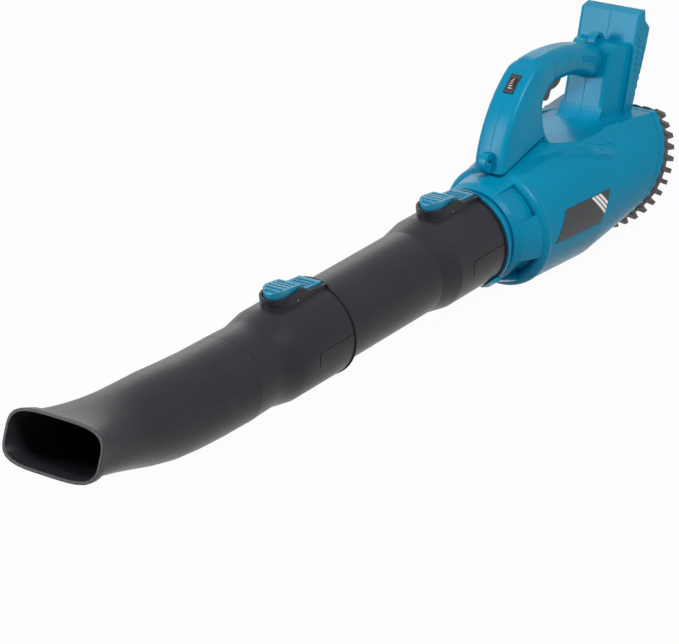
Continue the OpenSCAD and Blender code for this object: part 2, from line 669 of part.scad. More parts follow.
module dial_potentiometer() color(steel) place() {
    rod(dial_c()[0], dial_c()[1], 2, -dial_w / 2 - 1, dial_w / 2 + 2);
    rod(dial_c()[0], dial_c()[1], 7, dial_w / 2 + 1.6, column_half_w - wall - 0.1);
    translate([dial_c()[0] - 4, dial_w / 2 + 3, dial_c()[1] - 14]) cube([8, 2, 12]);
}
module eye(c, hole, hole_r) difference() {
    rod(c[0], c[1], eye_r, -eye_w / 2, eye_w / 2);
    rod(hole[0], hole[1], hole_r, -20, 20);
}
module eye_slot(c) rod(c[0], c[1], eye_r + fit, -eye_w / 2 - fit, eye_w / 2 + fit);
module front_strap_eye() color(teal) place() eye(front_eye, front_eye_hole, eye_hole_r);
module rear_strap_eye() color(teal) place() eye(rear_eye, rear_eye_hole, rear_eye_hole_r);

// ---------- Electrics ----------
module terminal_block() color(black) place() lean_frame() difference() {
    translate([floor_out + 0.1, -20, 18]) cube([10, 40, 22]);
    for (y = [-12, 0, 12]) translate([floor_out + 4, y - 1.4, 22]) cube([4, 2.8, 40]);
}
module battery_terminals() color(brass) place() lean_frame()
    for (y = [-12, 0, 12]) translate([floor_out + 4.4, y - 0.4, 22]) cube([3.2, 0.8, 30]);
module control_board() color("#2f6b45") place() lean_frame() {
    translate([-15, -20, -6]) cube([1.6, 40, 60]);
    translate([-18.6, -14, 30]) cube([3.6, 10, 10]);
    translate([-21, 6, 34]) cube([6, 8, 14]);
    for (i = [0:3]) translate([-17.6, -15 + i * 8, 4]) cube([2.6, 5, 9]);
}
module board_heatsink() color(steel) place() lean_frame() {
    translate([-13.38, -16, 2]) cube([2.18, 32, 26]);
    for (i = [0:6]) translate([-11.4, -16 + i * 5.1, 2]) cube([5.2, 1.4, 26]);
}

// ---------- Fan unit ----------
module fan_duct() color(dark) place() {
    turn() translate([duct_r, duct_x + 0.3]) square([2.6, fan_x + fan_len - duct_x - 0.3]);
    turn() polygon(concat([for (a = [0:10:90]) [pod_r * sin(a), can_x - 2 - 20 * cos(a)]],
        [[pod_r, fan_x - 18], [pod_r - 2.2, fan_x - 18]],
        [for (a = [90:-10:0]) [(pod_r - 2.2) * sin(a), can_x - 2 - 17.8 * cos(a)]]));
    for (i = [0:vanes - 1]) rotate([360 * i / vanes + 12, 0, 0]) translate([fan_x - 56, 0, 0])
        rotate([0, 0, 12]) translate([-22, -1, pod_r - 1]) cube([44, 2, duct_r - pod_r + 2]);
}
// One twisted blade: cambered sections from the hub to the tip, each on its own cylinder
chord = 25;
root_pitch = 52;
tip_pitch = 27;
blade_t = 2.2;
function blade_ring(k) = let (r = hub_r - 2 + (duct_r - tip_gap - hub_r + 2) * k,
        pitch = root_pitch + (tip_pitch - root_pitch) * k, c = chord * (1 + 0.25 * k))
    [for (i = [0:7]) let (t = i < 4 ? i / 4 : (8 - i) / 4, side = i < 4 ? 1 : -1,
        u = c * (t - 0.5), v = 3.2 * sin(180 * t) + side * blade_t / 2 * (0.35 + 0.65 * sin(180 * t)),
        y = u * cos(pitch) - v * sin(pitch), x = u * sin(pitch) + v * cos(pitch))
        [x, y, sqrt(r * r - y * y)]];
module fan_rotor() color(black) place() difference() {
    union() {
        turn() polygon([[0, fan_x - 12], [hub_r, fan_x - 12], [hub_r, fan_x + 8], [hub_r - 8, fan_x + 14], [0, fan_x + 14]]);
        for (i = [0:blades - 1]) rotate([360 * i / blades, 0, 0]) translate([fan_x, 0, 0])
            loft([for (k = [0:3]) blade_ring(k / 3)]);
    }
    rod_x(fan_x - 20, fan_x + 30, shaft_r);
    turn() polygon([[6, fan_x - 20], [hub_r - 3, fan_x - 20], [hub_r - 3, fan_x + 5], [6, fan_x + 5]]);
}
module rod_x(x0, x1, r) translate([x0, 0, 0]) rotate([0, 90, 0]) cylinder(r = r, h = x1 - x0);
module fan_nut() color(brass) place() difference() {
    translate([fan_x + 14.1, 0, 0]) rotate([0, 90, 0]) cylinder(r = 6.5, h = 6, $fn = 6);
    rod_x(fan_x, fan_x + 40, shaft_r);
}
module motor_shaft() color(steel) place() rod_x(can_x + 3, fan_x + 22, shaft_r);
module motor_armature() color(steel) place() difference() {
    union() {
        turn() translate([0, can_x + 20]) square([motor_r - 6, 30]);
        turn() translate([0, can_x + 12]) square([8, 6]);
        turn() translate([0, can_x + 17]) square([6, 4]);
    }
    rod_x(0, 300, shaft_r);
    for (i = [0:9]) rotate([36 * i, 0, 0]) translate([can_x, -1.5, motor_r - 12]) cube([60, 3, 12]);
}
module motor_can() color(steel) place() difference() {
    union() {
        difference() {
            rod_x(can_x + 6, can_x + can_len, motor_r);
            rod_x(can_x, can_x + can_len - 2, motor_r - 1.6);
        }
        rod_x(can_x + can_len - 9, can_x + can_len - 1, bearing_r + 2.2);
    }
    rod_x(can_x, can_x + can_len - 2, bearing_r + 0.05);
    rod_x(0, 300, 6);
}
module motor_end_cap() color(black) place() difference() {
    union() {
        rod_x(can_x, can_x + 6, motor_r);
        rod_x(can_x + 6, can_x + 9, motor_r - 1.7);
    }
    rod_x(can_x + 1.5, can_x + 1.5 + bearing_len + 20, bearing_r + 0.05);
    rod_x(0, 300, shaft_r + 1);
}
module bearing(x) difference() {
    rod_x(x, x + bearing_len, bearing_r);
    rod_x(x - 1, x + bearing_len + 1, shaft_r + 0.04);
}
module front_bearing() color(steel) place() bearing(can_x + 2);
module rear_bearing() color(steel) place() bearing(can_x + can_len - 2 - bearing_len - 0.2);

// ---------- Fasteners ----------
module screw(p, y_head, y_tip, r, head_r) {
    rod(p[0], p[1], r, y_tip, y_head);
    rod(p[0], p[1], head_r, y_head, y_head + 2);
}
module barrel_screws() color(steel) place() for (p = barrel_screw_at) screw(p, 8, -10, 1.3, 3);
module handle_screws() color(steel) place() for (p = handle_screw_at) screw(p, 6, -8, 1.1, 2.6);
module grille_screws() color(steel) place() intake_frame() grille_screw_axes()
    translate([0, 0, -10]) {
        cylinder(r = 1.15, h = 10 + base_h);
        translate([0, 0, 10 + base_h]) cylinder(r = 2.4, h = 1.6);
    }

barrel_shell_left();
barrel_shell_right();
handle_shell_left();
handle_shell_right();
outlet_collar();
intake_grille();
extension_tube();
nozzle();
tube_latch();
tube_latch_pin();
tube_latch_spring();
nozzle_latch();
nozzle_latch_pin();
nozzle_latch_spring();
trigger();
trigger_pin();
trigger_spring();
trigger_switch();
dial_bezel();
speed_dial();
dial_potentiometer();
front_strap_eye();
rear_strap_eye();
terminal_block();
battery_terminals();
control_board();
board_heatsink();
fan_duct();
fan_rotor();
fan_nut();
motor_shaft();
motor_armature();
motor_can();
motor_end_cap();
front_bearing();
rear_bearing();
label_plate();
barrel_screws();
handle_screws();
grille_screws();
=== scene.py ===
"""Finishes, small trim and stage for a handheld cordless leaf blower."""

import math

import bmesh
import bpy
from bpy.props import (FloatProperty, FloatVectorProperty, IntProperty, PointerProperty,
                       StringProperty)
from mathutils import Matrix, Vector


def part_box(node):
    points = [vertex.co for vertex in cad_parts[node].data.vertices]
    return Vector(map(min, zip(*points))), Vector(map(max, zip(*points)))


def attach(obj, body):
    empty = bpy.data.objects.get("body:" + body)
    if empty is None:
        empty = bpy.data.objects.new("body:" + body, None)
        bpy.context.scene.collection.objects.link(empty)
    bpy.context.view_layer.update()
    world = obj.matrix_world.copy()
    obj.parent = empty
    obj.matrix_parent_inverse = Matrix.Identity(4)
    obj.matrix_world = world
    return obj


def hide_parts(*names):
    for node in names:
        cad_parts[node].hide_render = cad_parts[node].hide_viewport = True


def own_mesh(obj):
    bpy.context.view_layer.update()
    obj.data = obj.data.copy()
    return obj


bl_info = {
    "name": "Cordless Leaf Blower",
    "version": (1, 0, 0),
    "blender": (4, 5, 0),
    "location": "View3D > Sidebar > Leaf Blower",
    "description": "Finishes, trim and stage for a handheld cordless leaf blower",
    "category": "Object",
}

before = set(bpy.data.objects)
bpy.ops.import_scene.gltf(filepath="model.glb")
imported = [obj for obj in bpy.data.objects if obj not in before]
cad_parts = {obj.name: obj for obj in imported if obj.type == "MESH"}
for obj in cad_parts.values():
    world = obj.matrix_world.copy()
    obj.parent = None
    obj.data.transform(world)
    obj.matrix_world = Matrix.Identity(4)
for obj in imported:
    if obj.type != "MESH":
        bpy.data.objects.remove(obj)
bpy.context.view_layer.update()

MM = 0.001
# The duct axis, and the rear edge of the tube's sleeve on it: all trim is placed from there
DUCT_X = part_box("extension_tube")[1].x
AXIS_Z = sum(corner.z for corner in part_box("motor_shaft")) / 2
# The two bodies with a sleeve and a latch, and the rear edge of each sleeve, in millimetres
SLEEVES = (("tube", 0.0), ("nozzle", -256.0))
# The part of its range from 0 to 1 that a noise texture mostly fills
NOISE_LOW, NOISE_HIGH = 0.3, 0.7
# Materials that several operators share
TEAL = "Teal glass-filled nylon, spark-eroded"
SPRING_STEEL = "Spring steel wire"
PLATED_STEEL = "Zinc-plated steel"


def at(x, y, z):
    """A place given in millimetres from the rear edge of the tube's sleeve, on the duct axis."""
    return Vector((DUCT_X + x * MM, y * MM, AXIS_Z + z * MM))


# ---------------------------------------------------------------- values
class BlowerFinish(bpy.types.PropertyGroup):
    """Colours and surface of the plastics"""
    housing: StringProperty(
        name="Housing", description="Colour of the moulded housings, as a hex value",
        default="#008AB0")
    latch: StringProperty(
        name="Latches", description="Colour of the two latches, as a hex value",
        default="#0F83A6")
    tube: StringProperty(
        name="Tubes", description="Colour of the blow tube and nozzle, as a hex value",
        default="#232429")
    grille: StringProperty(
        name="Grille", description="Colour of the intake grille, as a hex value",
        default="#3A3230")
    edge_radius: FloatProperty(
        name="Edge radius", description="Rounding that moulded edges show",
        default=1.1 * MM, min=0.0, unit="LENGTH")
    grain: FloatProperty(
        name="Grain", description="Size of the spark-eroded grain on the housings",
        default=0.9 * MM, min=0.1 * MM, unit="LENGTH")


class BlowerTrim(bpy.types.PropertyGroup):
    """Sizes and counts of the small trim"""
    rim_width: FloatProperty(
        name="Rim width", description="Width of the lip round the rear edge of a sleeve",
        default=2.4 * MM, unit="LENGTH")
    rim_rise: FloatProperty(
        name="Rim rise", description="How far that lip stands out from the sleeve",
        default=0.9 * MM, unit="LENGTH")
    grip_ribs: IntProperty(
        name="Grip ribs", description="Number of ribs on each side of the grip",
        default=9, min=1)
    rib_height: FloatProperty(
        name="Rib height", description="Height of the ribs on the grip",
        default=8.0 * MM, unit="LENGTH")
    recess: FloatProperty(
        name="Screw recess",
        description="Size of the six-lobe recess in a screw's head, as a share of the head",
        default=0.55, min=0.2, max=0.8)
    groove_width: FloatProperty(
        name="Groove width", description="Width of the finger grooves on the latches",
        default=2.4 * MM, unit="LENGTH")
    groove_depth: FloatProperty(
        name="Groove depth", description="Depth of those grooves",
        default=1.6 * MM, unit="LENGTH")
    stripe_width: FloatProperty(
        name="Stripe width", description="Width of one stripe on the label",
        default=3.1 * MM, unit="LENGTH")
    stripe_pitch: FloatProperty(
        name="Stripe pitch",
        description="Distance from stripe to stripe along the label's top edge",
        default=5.6 * MM, unit="LENGTH")
    stripes: IntProperty(
        name="Stripes", description="Number of stripes on the label",
        default=3, min=1)
    stripe_thick: FloatProperty(
        name="Stripe thickness", description="Thickness of the printed film",
        default=0.12 * MM, unit="LENGTH")


class BlowerStage(bpy.types.PropertyGroup):
    """Camera and lights"""
    camera: FloatVectorProperty(
        name="Camera", description="Place of the camera from the rear edge of the tube's sleeve",
        default=(-2.5030, -1.8916, 1.3344), unit="LENGTH")
    lens: FloatProperty(
        name="Lens", description="Focal length in millimetres", default=172.08, min=1.0)
    world_light: FloatProperty(
        name="World light", description="Strength of the light all round", default=0.11)
    key_power: FloatProperty(
        name="Key light", description="Power of the key light in watts", default=42.0)
    back_power: FloatProperty(
        name="Back light", description="Power of the light over the intake in watts",
        default=3.5)
    front_power: FloatProperty(
        name="Front light", description="Power of the light before the nozzle in watts",
        default=31.0)


# ---------------------------------------------------------------- shaders
def colour(text):
    """Linear colour from an sRGB hex value."""
    parts = [int(text[i : i + 2], 16) / 255 for i in (1, 3, 5)]
    return [c / 12.92 if c <= 0.04045 else ((c + 0.055) / 1.055) ** 2.4 for c in parts] + [1.0]


def shade(text, factor):
    """That colour, made lighter or darker by a factor."""
    return [min(c * factor, 1.0) for c in colour(text)[:3]] + [1.0]


def add(tree, kind, links=(), **settings):
    """Adds one node: settings name its properties or inputs, links pair an input and a socket."""
    new = tree.nodes.new(kind)
    for key, value in settings.items():
        if hasattr(new, key):
            setattr(new, key, value)
    for key, value in settings.items():
        if not hasattr(new, key):
            new.inputs[key.replace("_", " ")].default_value = value
    for key, socket in links:
        tree.links.new(socket, new.inputs[key])
    return new


def fresh(name):
    """An empty node material."""
    material = bpy.data.materials.new(name)
    material.use_nodes = True
    tree = material.node_tree
    tree.nodes.clear()
    return material, tree


def close(tree, surface):
    """Links the last shader to the material's output."""
    add(tree, "ShaderNodeOutputMaterial", [("Surface", surface.outputs[0])])


def moulded(name, tone, rough, grain, relief, edge, streak=None, spread=0.08, specular=0.5):
    """Moulded plastic: cloudy tone, grain of the mould, softened edges, and any flow streaks."""
    cloud_size = 55 * MM
    material, tree = fresh(name)
    place = add(tree, "ShaderNodeTexCoord").outputs["Object"]
    cloud = add(tree, "ShaderNodeTexNoise", [("Vector", place)], Scale=1 / cloud_size,
                Detail=3.0, Roughness=0.55)
    source = cloud.outputs["Fac"]
    if streak:
        along = add(tree, "ShaderNodeMapping", [("Vector", place)], Scale=streak)
        lines = add(tree, "ShaderNodeTexNoise", [("Vector", along.outputs[0])], Scale=1.0,
                    Detail=4.0, Roughness=0.6)
        both = add(tree, "ShaderNodeMath", [(0, source), (1, lines.outputs["Fac"])],
                   operation="MULTIPLY")
        # Two noises that each lie round a half come back to a half
        twice = add(tree, "ShaderNodeMath", [(0, both.outputs[0])], operation="MULTIPLY")
        twice.inputs[1].default_value = 2.0
        source = twice.outputs[0]
    ramp = add(tree, "ShaderNodeMapRange", [("Value", source)], From_Min=NOISE_LOW,
               From_Max=NOISE_HIGH)
    tint = add(tree, "ShaderNodeMix", [("Factor", ramp.outputs["Result"])], data_type="RGBA",
               A=shade(tone, 1 - spread), B=shade(tone, 1 + spread))
    fine = add(tree, "ShaderNodeTexNoise", [("Vector", place)], Scale=1 / grain, Detail=2.0)
    gloss = add(tree, "ShaderNodeMapRange", [("Value", fine.outputs["Fac"])],
                From_Min=NOISE_LOW, From_Max=NOISE_HIGH, To_Min=rough - 0.04,
                To_Max=rough + 0.06)
    soft = add(tree, "ShaderNodeBevel", samples=6, Radius=edge)
    bump = add(tree, "ShaderNodeBump",
               [("Height", fine.outputs["Fac"]), ("Normal", soft.outputs[0])],
               Strength=0.35, Distance=relief)
    body = add(tree, "ShaderNodeBsdfPrincipled",
               [("Base Color", tint.outputs["Result"]), ("Roughness", gloss.outputs["Result"]),
                ("Normal", bump.outputs[0])], IOR=1.5, Specular_IOR_Level=specular)
    close(tree, body)
    return material


def metal(name, tone, rough, brushed=None):
    """Bare metal with fine marks; brushed gives the stretch of the marks."""
    mark_size, edge = 1.2 * MM, 0.3 * MM
    material, tree = fresh(name)
    place = add(tree, "ShaderNodeTexCoord").outputs["Object"]
    if brushed:
        place = add(tree, "ShaderNodeMapping", [("Vector", place)], Scale=brushed).outputs[0]
    marks = add(tree, "ShaderNodeTexNoise", [("Vector", place)], Scale=1 / mark_size,
                Detail=4.0)
    gloss = add(tree, "ShaderNodeMapRange", [("Value", marks.outputs["Fac"])],
                From_Min=NOISE_LOW, From_Max=NOISE_HIGH, To_Min=rough - 0.08,
                To_Max=rough + 0.1)
    tint = add(tree, "ShaderNodeMix", [("Factor", marks.outputs["Fac"])], data_type="RGBA",
               A=shade(tone, 0.86), B=shade(tone, 1.08))
    soft = add(tree, "ShaderNodeBevel", samples=4, Radius=edge)
    body = add(tree, "ShaderNodeBsdfPrincipled",
               [("Base Color", tint.outputs["Result"]), ("Roughness", gloss.outputs["Result"]),
                ("Normal", soft.outputs[0])], Metallic=1.0)
    close(tree, body)
    return material


def dress(material, *names):
    """Gives CAD nodes a material in all their slots."""
    for name in names:
        node_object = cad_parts[name]
        if not node_object.material_slots:
            node_object.data.materials.append(material)
        for slot in node_object.material_slots:
            slot.material = material


# ---------------------------------------------------------------- modelling
def deselect():
    """Leaves edit mode and selects nothing."""
    if bpy.context.object and bpy.context.object.mode != "OBJECT":
        bpy.ops.object.mode_set(mode="OBJECT")
    bpy.ops.object.select_all(action="DESELECT")


def pick(piece, test):
    """Selects in edit mode the faces whose middle and normal pass the test."""
    mesh = bmesh.from_edit_mesh(piece.data)
    bpy.ops.mesh.select_mode(type="FACE")
    bpy.ops.mesh.select_all(action="DESELECT")
    for face in mesh.faces:
        if test(face.calc_center_median(), face.normal):
            face.select = True
    mesh.select_flush_mode()
    bmesh.update_edit_mesh(piece.data)


def pick_corners(piece, test):
    """Selects in edit mode the corners whose place passes the test."""
    mesh = bmesh.from_edit_mesh(piece.data)
    bpy.ops.mesh.select_mode(type="VERT")
    bpy.ops.mesh.select_all(action="DESELECT")
    for corner in mesh.verts:
        if test(corner.co):
            corner.select = True
    bmesh.update_edit_mesh(piece.data)


def block(size, place=(0, 0, 0), rotation=(0, 0, 0)):
    """A box of the size given in metres, its scale applied, as a start for a small piece."""
    deselect()
    bpy.ops.mesh.primitive_cube_add(size=1.0, location=place, rotation=rotation)
    piece = bpy.context.object
    piece.scale = size
    bpy.ops.object.transform_apply(location=False, rotation=False, scale=True)
    return piece


def finish_modifier(piece, kind, **settings):
    """Adds one modifier to the active piece and applies it."""
    modifier = piece.modifiers.new(kind.title(), kind)
    for key, value in settings.items():
        setattr(modifier, key, value)
    bpy.ops.object.modifier_apply(modifier=modifier.name)


def repeat(first, places):
    """Sets the piece at the first place, and a copy with a mesh of its own at each other."""
    row = [first]
    for _ in places[1:]:
        twin = first.copy()
        twin.data = first.data.copy()
        bpy.context.scene.collection.objects.link(twin)
        row.append(twin)
    for piece, place in zip(row, places):
        piece.matrix_world = place
    return row


def join(row):
    """Makes one object of several."""
    deselect()
    for piece in row:
        piece.select_set(True)
    bpy.context.view_layer.objects.active = row[0]
    bpy.ops.object.join()
    return row[0]


def settle(piece, name, material, body):
    """Bakes the object's place into its mesh, names it, and lets it ride on a body."""
    deselect()
    piece.select_set(True)
    bpy.context.view_layer.objects.active = piece
    bpy.ops.object.transform_apply(location=True, rotation=True, scale=True)
    piece.name = piece.data.name = name
    piece.data.materials.clear()
    piece.data.materials.append(material)
    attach(piece, body)
    return piece


def merged_copy(context, node):
    """A copy of a CAD node whose loose triangles are one skin."""
    deselect()
    copy = bpy.data.objects.new(node + "_copy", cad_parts[node].data.copy())
    context.scene.collection.objects.link(copy)
    copy.select_set(True)
    context.view_layer.objects.active = copy
    bpy.ops.object.mode_set(mode="EDIT")
    bpy.ops.mesh.select_all(action="SELECT")
    bpy.ops.mesh.remove_doubles(threshold=0.002 * MM)
    bpy.ops.object.mode_set(mode="OBJECT")
    if copy.data.has_custom_normals:
        bpy.ops.mesh.customdata_custom_splitnormals_clear()
    return copy


def stand_in(piece, node, ending, body):
    """Settles a piece that replaces a CAD node and wears its material."""
    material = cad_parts[node].material_slots[0].material
    settle(piece, node + ending, material, body)
    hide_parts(node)


# ---------------------------------------------------------------- operators
class FinishHousings(bpy.types.Operator):
    """Gives the barrel, the handle, the collar and the strap eyes their moulded teal"""
    bl_idname = "blower.finish_housings"
    bl_label = "Housings"

    def execute(self, context):
        look = context.scene.blower_finish
        # Glass-filled nylon from a spark-eroded mould: satin, with weak highlights and a fine
        # grain that is drawn coarser than the real one, so that it shows
        teal = moulded(TEAL, look.housing, rough=0.27, grain=look.grain, relief=0.04 * MM,
                       edge=look.edge_radius, spread=0.05, specular=0.13)
        dress(teal, "barrel_shell_left", "barrel_shell_right", "handle_shell_left",
              "handle_shell_right", "outlet_collar", "front_strap_eye", "rear_strap_eye")
        # Polyester label film: dark and flat, with more sheen than the housing
        film = moulded("Dark polyester label film", "#303236", rough=0.4, grain=0.7 * MM,
                       relief=0.01 * MM, edge=0.2 * MM, spread=0.05)
        dress(film, "label_plate")
        return {"FINISHED"}


class FinishTubes(bpy.types.Operator):
    """Gives the blow tube, the nozzle and the latches their plastics"""
    bl_idname = "blower.finish_tubes"
    bl_label = "Tubes and latches"

    def execute(self, context):
        look = context.scene.blower_finish
        # Blow-moulded polypropylene: satin black with faint flow streaks along the tube
        black = moulded("Black polypropylene, blow moulded", look.tube, rough=0.33,
                        grain=1.1 * MM, relief=0.03 * MM, edge=0.9 * MM,
                        streak=(9.0, 60.0, 60.0), spread=0.16, specular=0.22)
        dress(black, "extension_tube", "nozzle")
        # Acetal latches: close to the housing in colour with more sheen, so that the edges of
        # their grooves catch the light
        acetal = moulded("Light teal acetal", look.latch, rough=0.38, grain=0.8 * MM,
                         relief=0.03 * MM, edge=0.5 * MM, spread=0.05)
        dress(acetal, "tube_latch", "nozzle_latch")
        # Drawn spring wire and pins: mid grey and half bright
        spring = metal(SPRING_STEEL, "#8F9296", rough=0.32)
        dress(spring, "tube_latch_pin", "tube_latch_spring", "nozzle_latch_pin",
              "nozzle_latch_spring", "trigger_pin", "trigger_spring")
        return {"FINISHED"}


class FinishIntake(bpy.types.Operator):
    """Gives the intake grille, the fan duct and the fan their dark plastics"""
    bl_idname = "blower.finish_intake"
    bl_label = "Intake and fan"

    def execute(self, context):
        look = context.scene.blower_finish
        # Recycled polypropylene: brown-black and dull, a little dusty on its faces
        dull = moulded("Brown-black recycled polypropylene", look.grille, rough=0.5,
                       grain=0.9 * MM, relief=0.07 * MM, edge=0.8 * MM, spread=0.14)
        dress(dull, "intake_grille", "fan_duct")
        # Glass-filled nylon fan: hard and darker, with a low sheen
        fan = moulded("Black nylon, glass filled", "#2B2C2E", rough=0.42, grain=0.8 * MM,
                      relief=0.04 * MM, edge=0.5 * MM, spread=0.1)
        dress(fan, "fan_rotor", "motor_end_cap")
        return {"FINISHED"}


class FinishControls(bpy.types.Operator):
    """Gives the trigger, the dial and the switch their plastics"""
    bl_idname = "blower.finish_controls"
    bl_label = "Controls"

    def execute(self, context):
        # Moulded ABS: black, smooth where fingers rub it
        smooth = moulded("Black ABS, satin", "#2E2F32", rough=0.36, grain=0.8 * MM,
                         relief=0.03 * MM, edge=0.8 * MM, spread=0.06)
        dress(smooth, "trigger", "trigger_switch", "dial_bezel", "terminal_block")
        # Soft-touch dial: nearly matt
        rubber = moulded("Dark soft-touch elastomer", "#2A2627", rough=0.62, grain=0.6 * MM,
                         relief=0.05 * MM, edge=0.3 * MM)
        dress(rubber, "speed_dial")
        return {"FINISHED"}


class FinishMetals(bpy.types.Operator):
    """Gives the motor, the electrics and the screws their metals"""
    bl_idname = "blower.finish_metals"
    bl_label = "Motor and electrics"

    def execute(self, context):
        # Zinc-plated steel: pale grey, with the soft marks of rolling
        plated = metal(PLATED_STEEL, "#A5A8AC", rough=0.34)
        dress(plated, "motor_can", "dial_potentiometer", "barrel_screws", "handle_screws",
              "grille_screws")
        # Ground steel: brighter, with marks round the shaft
        ground = metal("Ground bearing steel", "#B4B6BA", rough=0.22, brushed=(8.0, 1.0, 1.0))
        dress(ground, "motor_shaft", "front_bearing", "rear_bearing")
        # Laminated electrical steel: dark grey stacks
        stack = metal("Laminated electrical steel", "#77797D", rough=0.45,
                      brushed=(12.0, 0.4, 0.4))
        dress(stack, "motor_armature")
        # Extruded aluminium: light and slightly brushed along the fins
        fins = metal("Extruded aluminium", "#C3C6CA", rough=0.36, brushed=(1.0, 1.0, 0.2))
        dress(fins, "board_heatsink")
        # Rolled brass contacts: warm yellow and bright
        brass = metal("Brass contact strip", "#C8A560", rough=0.26)
        dress(brass, "battery_terminals", "fan_nut")
        # Solder mask over glass fibre: deep green with a light gloss
        mask = moulded("Green solder mask", "#2E6B46", rough=0.3, grain=0.7 * MM,
                       relief=0.02 * MM, edge=0.2 * MM, spread=0.12)
        dress(mask, "control_board")
        return {"FINISHED"}


class SmoothSkins(bpy.types.Operator):
    """Shows the nozzle and the handle with one smooth skin over the facets of their solids"""
    bl_idname = "blower.smooth_skins"
    bl_label = "Smooth skins"

    def execute(self, context):
        for node, body, slot in (("nozzle", "nozzle", "black_tube_plastic"),
                                 ("handle_shell_left", "main", "teal_plastic"),
                                 ("handle_shell_right", "main", "teal_plastic")):
            skin = merged_copy(context, node)
            if node == "nozzle":
                self.thin_lip(skin)
            bpy.ops.object.shade_smooth_by_angle(angle=math.radians(32))
            stand_in(skin, node, "_skin", body)
        return {"FINISHED"}

    def thin_lip(self, skin):
        """Widens the inner edge of the mouth, which leaves a thinner lip with a slope behind."""
        # The mouth's middle and lean, and a superellipse between its inner and outer edges
        centre = at(-640, 0, 34.5)
        lean = math.radians(25)
        half_width, half_height, power = 57.5 * MM, 26 * MM, 3.85
        across = Vector((math.sin(lean), 0, math.cos(lean)))
        ahead = Vector((-math.cos(lean), 0, math.sin(lean)))

        def on_inner_edge(place):
            arm = place - centre
            reach = ((abs(arm.y) / half_width) ** power
                     + (abs(arm.dot(across)) / half_height) ** power)
            return reach < 1 and abs(arm.dot(ahead)) < 0.3 * MM

        bpy.ops.object.mode_set(mode="EDIT")
        pick_corners(skin, on_inner_edge)
        bpy.ops.transform.resize(value=(1.076, 1.033, 1.076), center_override=centre)
        bpy.ops.object.mode_set(mode="OBJECT")


class GrooveLatches(bpy.types.Operator):
    """Cuts the finger grooves across the two pads of each latch"""
    bl_idname = "blower.groove_latches"
    bl_label = "Latch grooves"

    def execute(self, context):
        trim = context.scene.blower_trim
        # Place along the latch, height of the pad there, half the groove's length: millimetres
        grooves = ((-66.0, 64.9, 6.0), (-60.0, 65.3, 10.5), (-54.0, 65.5, 11.6),
                   (-48.0, 64.6, 11.6), (-42.0, 63.8, 11.6), (-24.0, 55.8, 11.6),
                   (-18.0, 55.4, 11.6), (-12.0, 55.1, 11.6))
        for body, start in SLEEVES:
            latch = body + "_latch"
            cutter = join([
                block((trim.groove_width, 2 * half * MM, 2 * trim.groove_depth),
                      at(start + x, 0, z)) for x, z, half in grooves])
            bpy.ops.object.transform_apply(location=True, rotation=False, scale=False)
            pad = merged_copy(context, latch)
            finish_modifier(pad, "BOOLEAN", object=cutter, operation="DIFFERENCE",
                            solver="EXACT")
            bpy.ops.object.shade_smooth_by_angle(angle=math.radians(28))
            bpy.data.objects.remove(cutter)
            stand_in(pad, latch, "_pads", latch)
        return {"FINISHED"}


class WindSprings(bpy.types.Operator):
    """Gives the springs of the latches and the trigger one smooth skin each, riding on their
    bodies
    """
    bl_idname = "blower.wind_springs"
    bl_label = "Springs"

    def execute(self, context):
        # Body a spring rests on, spring, joint that presses it, the end that stays, and the
        # share of its length that is left
        springs = [(body, body + "_latch_spring", body + "_latch_press",
                    at(start - 59, 0, 50.1), 0.77) for body, start in SLEEVES]
        springs.append(("main", "trigger_spring", "trigger_pull", at(154, 0, 152.5), 0.89))
        for body, node, joint, rest, keep in springs:
            coil = merged_copy(context, node)
            bpy.ops.object.shade_smooth_by_angle(angle=math.radians(60))
            stand_in(coil, node, "_coil", body)
            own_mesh(coil)
        return {"FINISHED"}


class AddPinEnds(bpy.types.Operator):
    """Shows the ends of the latch pins in their holes"""
    bl_idname = "blower.add_pin_ends"
    bl_label = "Pin ends"

    def execute(self, context):
        # Polypropylene eyelet round the hole: dull and painted nearly black, painted shade as in
        # a deep shadow
        eyelet = moulded("Black polypropylene eyelet", "#0A0A0C", rough=0.6, grain=0.6 * MM,
                         relief=0.01 * MM, edge=0.1 * MM)
        steel = bpy.data.materials[SPRING_STEEL]
        # Place of the pin before the sleeve's rear edge and above the duct axis
        pin_x, pin_z = -46, 50.4
        for body, start in SLEEVES:
            cups = self.both_sides(self.cup(context), start + pin_x, 18.0, pin_z)
            # The eyelets wear the near-black painted shade of the pin holes
            settle(join(cups), body + "_pin_eyelets", eyelet, body)
            ends = self.both_sides(self.end(context), start + pin_x, 17.8, pin_z)
            settle(join(ends), body + "_pin_ends", steel, body)
        return {"FINISHED"}

    def both_sides(self, piece, x, y, z):
        """Sets a piece that faces the right side there, and its copy on the left side."""
        return repeat(piece, [
            Matrix.Translation(at(x, y, z)),
            Matrix.Translation(at(x, -y, z)) @ Matrix.Rotation(math.pi, 4, "Z")])

    def cup(self, context):
        """A short round eyelet that faces the right side, with a sunk middle."""
        deselect()
        bpy.ops.mesh.primitive_cylinder_add(vertices=32, radius=2.1 * MM, depth=0.5 * MM,
                                            rotation=(math.pi / 2, 0, 0))
        cup = context.object
        bpy.ops.object.transform_apply(location=False, rotation=True, scale=False)
        bpy.ops.object.mode_set(mode="EDIT")
        pick(cup, lambda middle, normal: normal.y > 0.9)
        bpy.ops.mesh.inset(thickness=0.5 * MM)
        bpy.ops.mesh.extrude_region_move(
            TRANSFORM_OT_translate={"value": (0, -0.42 * MM, 0)})
        bpy.ops.object.mode_set(mode="OBJECT")
        return cup

    def end(self, context):
        """The domed end of a pin."""
        deselect()
        bpy.ops.mesh.primitive_uv_sphere_add(segments=24, ring_count=12, radius=1.0 * MM)
        end = context.object
        end.scale = (1.0, 0.45, 1.0)
        bpy.ops.object.transform_apply(location=False, rotation=False, scale=True)
        bpy.ops.object.shade_smooth()
        return end


